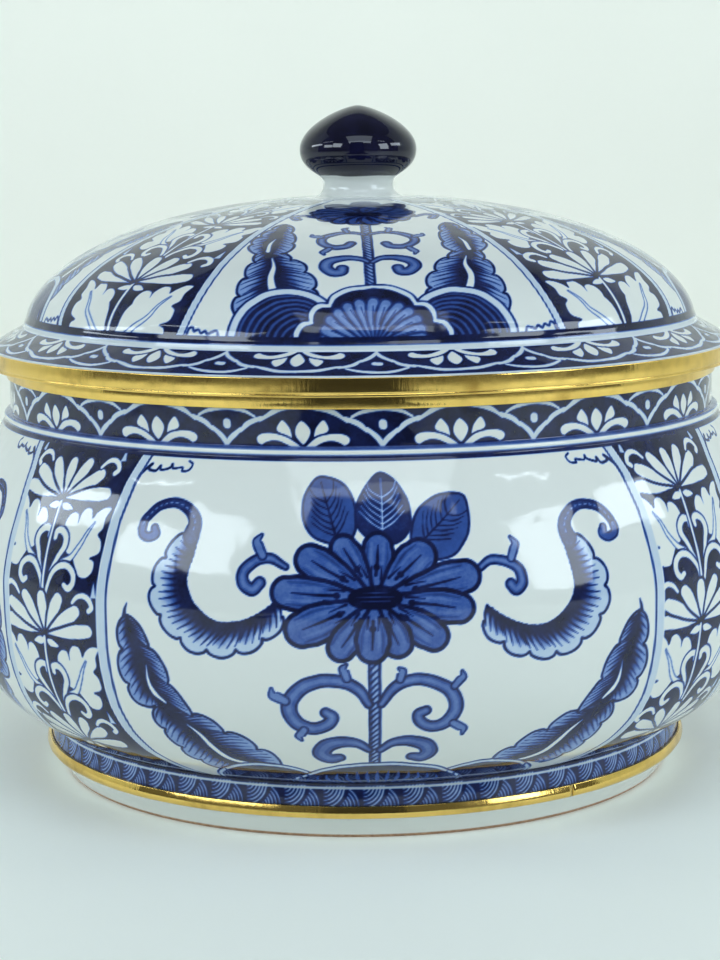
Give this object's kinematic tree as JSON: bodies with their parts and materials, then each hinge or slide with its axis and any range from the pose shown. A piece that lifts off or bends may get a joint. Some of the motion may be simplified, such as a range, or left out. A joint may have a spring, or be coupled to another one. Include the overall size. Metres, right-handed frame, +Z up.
{
  "type": "soup tureen",
  "caption": "Round lidded soup tureen in blue-and-white glazed porcelain with brass bands on foot, rim and lid, and a knob to lift the lid.",
  "frame": {"origin": "centre of the plane that the foot ring rests on", "axes": "+Z up along the axis of revolution; -Y is the front, where the middle of a white panel faces; +X is to the right seen from the front"},
  "size_m": [0.2868, 0.2868, 0.2302],
  "materials": {
    "decorated_porcelain": "glossy clear glaze over hand-painted cobalt decoration",
    "cobalt_glaze": "glossy near-black cobalt glaze on the finial, clear glaze on its neck",
    "brass": "hand-polished strip with streaks of tarnish",
    "solder": "dull filed hard solder",
    "cement": "dull set cement"
  },
  "bodies": {
    "bowl": {"bowl": "decorated_porcelain", "foot_band": "brass", "foot_band_solder": "solder", "foot_band_cement": "cement", "rim_band": "brass", "rim_band_solder": "solder", "rim_band_cement": "cement"},
    "lid": {"lid": "decorated_porcelain", "knob": "cobalt_glaze", "lid_band": "brass", "lid_band_solder": "solder", "lid_band_cement": "cement"}
  },
  "joints": [
    {"name": "lid_lift", "type": "slide", "parent": "bowl", "child": "lid", "axis": [0, 0, 1], "range_m": [0, 0.15]}
  ]
}
